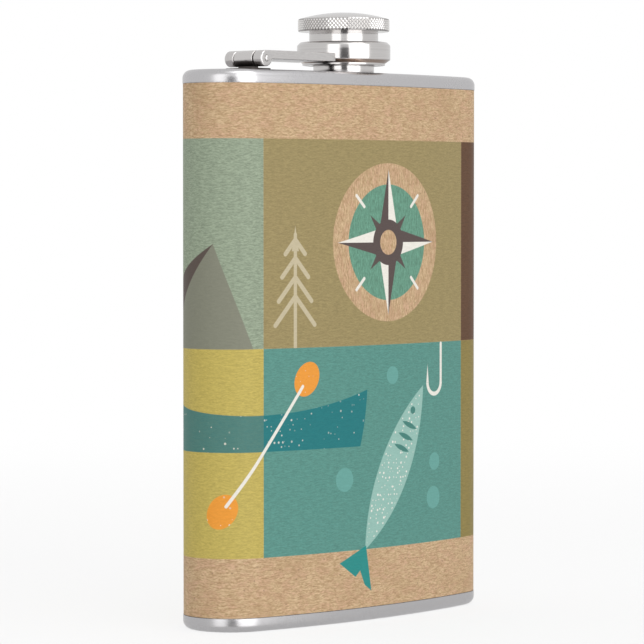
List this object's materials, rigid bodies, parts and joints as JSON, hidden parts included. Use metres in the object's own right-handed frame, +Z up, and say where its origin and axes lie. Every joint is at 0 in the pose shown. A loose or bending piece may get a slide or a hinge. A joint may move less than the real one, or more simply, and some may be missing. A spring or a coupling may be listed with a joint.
{
  "type": "hip flask",
  "caption": "Curved pocket drinking flask of stainless steel with a printed wrap and a knurled screw cap held captive by a hinged arm.",
  "frame": {"origin": "middle of the body's outline on the surface that the flask stands on", "axes": "+Z up through the cap, +X along the width from the hinge to the free side, -Y towards the convex front"},
  "size_m": [0.0952, 0.0268, 0.1492],
  "materials": {
    "satin_steel": "satin stainless steel",
    "turned_steel": "fine-turned, semi-bright stainless steel",
    "printed_vinyl": "semi-matt printed vinyl with plain colour blocks on a brown-paper ground",
    "seal_rubber": "matt, off-white silicone"
  },
  "bodies": {
    "flask": {"body_shell": "satin_steel", "top_end": "satin_steel", "bottom_end": "satin_steel", "print_wrap": "printed_vinyl", "pour_neck": "turned_steel", "hinge_bracket": "satin_steel", "hinge_pin": "turned_steel"},
    "arm": {"captive_arm": "turned_steel", "collar_ring": "turned_steel"},
    "washer": {"retaining_washer": "satin_steel"},
    "cap": {"cap_sleeve": "turned_steel", "cap_knob": "turned_steel", "cap_seal": "seal_rubber"}
  },
  "joints": [
    {"name": "arm_swing", "type": "hinge", "parent": "flask", "child": "arm", "pos_m": [-0.03375, -0.00181, 0.1369], "axis": [0, -1, 0], "range_deg": [0, 180]},
    {"name": "cap_lift", "type": "slide", "parent": "arm", "child": "washer", "axis": [0, 0, 1], "range_m": [0, 0.003]},
    {"name": "cap_spin", "type": "hinge", "parent": "washer", "child": "cap", "pos_m": [0, -0.00181, 0.1437], "axis": [0, 0, 1], "range_deg": [0, 720]}
  ],
  "couplings": [
    {"joint": "cap_lift", "follows": "cap_spin", "m_per_rad": 0.0002387}
  ]
}
